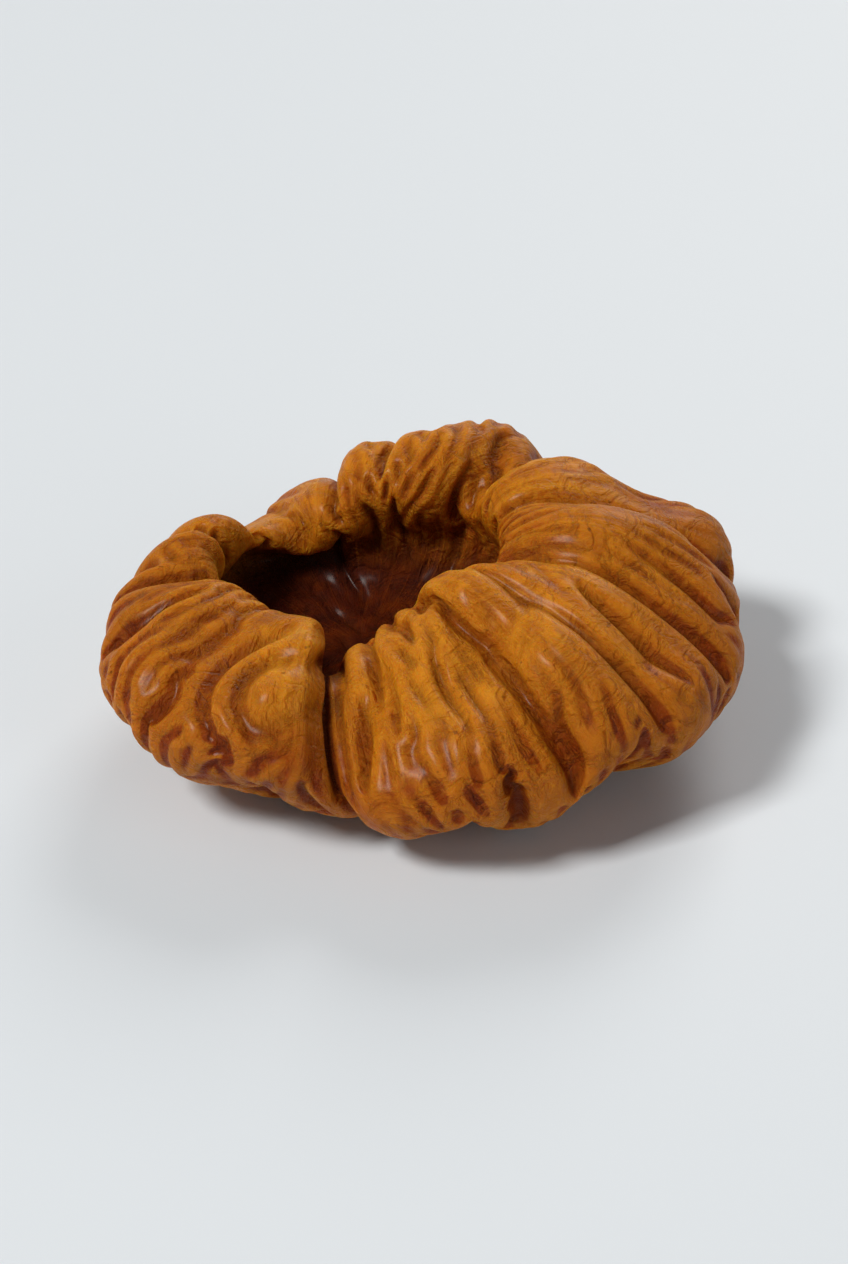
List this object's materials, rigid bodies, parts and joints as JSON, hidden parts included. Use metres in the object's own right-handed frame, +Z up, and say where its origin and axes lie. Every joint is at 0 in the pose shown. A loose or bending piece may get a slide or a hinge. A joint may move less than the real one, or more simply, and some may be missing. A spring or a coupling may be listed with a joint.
{
  "type": "dried peach half",
  "caption": "Dried peach half in one piece: a pit hollow open upwards, a thick rim rolled in over it and split in front, and a shrunken skin side it rests on.",
  "frame": {"origin": "middle of the bounding box in plan, at the height of the surface it rests on", "axes": "+X to the right along the longest extent, +Y to the back, away from the split in the rim, +Z up out of the pit hollow along the shortest extent"},
  "size_m": [0.0488, 0.0444, 0.0181],
  "materials": {
    "dried_flesh": "satin"
  },
  "bodies": {
    "root": {"dried_peach_half": "dried_flesh"}
  },
  "joints": []
}
